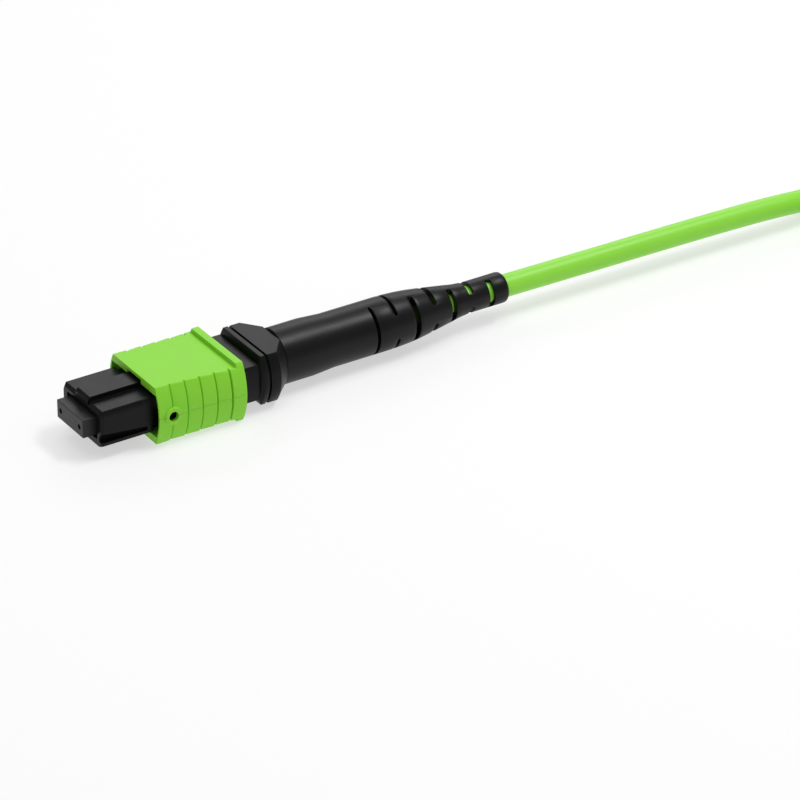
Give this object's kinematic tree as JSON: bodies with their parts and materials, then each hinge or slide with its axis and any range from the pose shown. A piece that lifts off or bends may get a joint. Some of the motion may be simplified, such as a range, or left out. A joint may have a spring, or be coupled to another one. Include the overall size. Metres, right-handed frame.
{
  "type": "mpo fibre connector",
  "caption": "Push-pull multi-fibre connector for a twelve-fibre ribbon, with a sliding coupling sleeve, sprung ferrule, slotted bend-relief boot and a round cord.",
  "frame": {"origin": "centre of the ferrule mating face", "axes": "+X from the mating face back along the connector to the cord, +Z towards the keyed side"},
  "size_m": [0.2422, 0.0272, 0.0115],
  "materials": {
    "ferrule_resin": "matt moulded resin",
    "fibre_glass": "polished glass ends",
    "ribbon_film": "clear aqua ribbon coating",
    "soft_rubber": "matt",
    "clamp_metal": "satin",
    "spring_steel": "satin",
    "housing_plastic": "fine matt moulded",
    "sleeve_plastic": "fine spark-eroded moulded texture",
    "push_plastic": "fine matt moulded",
    "yarn": "fibrous",
    "crimp_metal": "satin",
    "cord_jacket": "smooth satin jacket",
    "boot_rubber": "satin elastomer",
    "tie_fabric": "woven hook-and-loop strap"
  },
  "bodies": {
    "connector": {"inner_housing": "housing_plastic", "spring_push": "push_plastic", "ferrule_spring": "spring_steel", "fibre_ribbon": "ribbon_film", "coupling_spring_left": "spring_steel", "coupling_spring_right": "spring_steel", "aramid_yarn": "yarn", "crimp_ring": "crimp_metal", "cord_end": "cord_jacket", "boot": "boot_rubber", "cord_tube": "cord_jacket", "cord_hank": "cord_jacket", "cord_tie": "tie_fabric", "cord_tail": "cord_jacket", "far_housing": "housing_plastic", "far_push": "push_plastic", "far_boot": "boot_rubber"},
    "ferrule": {"mt_ferrule": "ferrule_resin", "fibre_array": "fibre_glass", "ribbon_end": "ribbon_film", "ferrule_boot": "soft_rubber", "pin_clamp": "clamp_metal"},
    "sleeve": {"coupling_sleeve": "sleeve_plastic"},
    "far_ferrule": {"far_ferrule": "ferrule_resin"},
    "far_sleeve": {"far_sleeve": "sleeve_plastic"}
  },
  "joints": [
    {"name": "sleeve_slide", "type": "slide", "parent": "connector", "child": "sleeve", "axis": [1, 0, 0], "range_m": [0, 0.0022], "stiffness_N_per_m": 1200, "springref_m": -0.001, "deforming": ["coupling_spring_left", "coupling_spring_right"]},
    {"name": "ferrule_float", "type": "slide", "parent": "connector", "child": "ferrule", "axis": [1, 0, 0], "range_m": [0, 0.001], "stiffness_N_per_m": 3500, "springref_m": -0.002, "deforming": ["ferrule_spring", "fibre_ribbon"]},
    {"name": "far_sleeve_slide", "type": "slide", "parent": "connector", "child": "far_sleeve", "axis": [-1, 0, 0], "range_m": [0, 0.0022], "stiffness_N_per_m": 1200, "springref_m": -0.001},
    {"name": "far_ferrule_float", "type": "slide", "parent": "connector", "child": "far_ferrule", "axis": [-1, 0, 0], "range_m": [0, 0.001], "stiffness_N_per_m": 3500, "springref_m": -0.002}
  ]
}
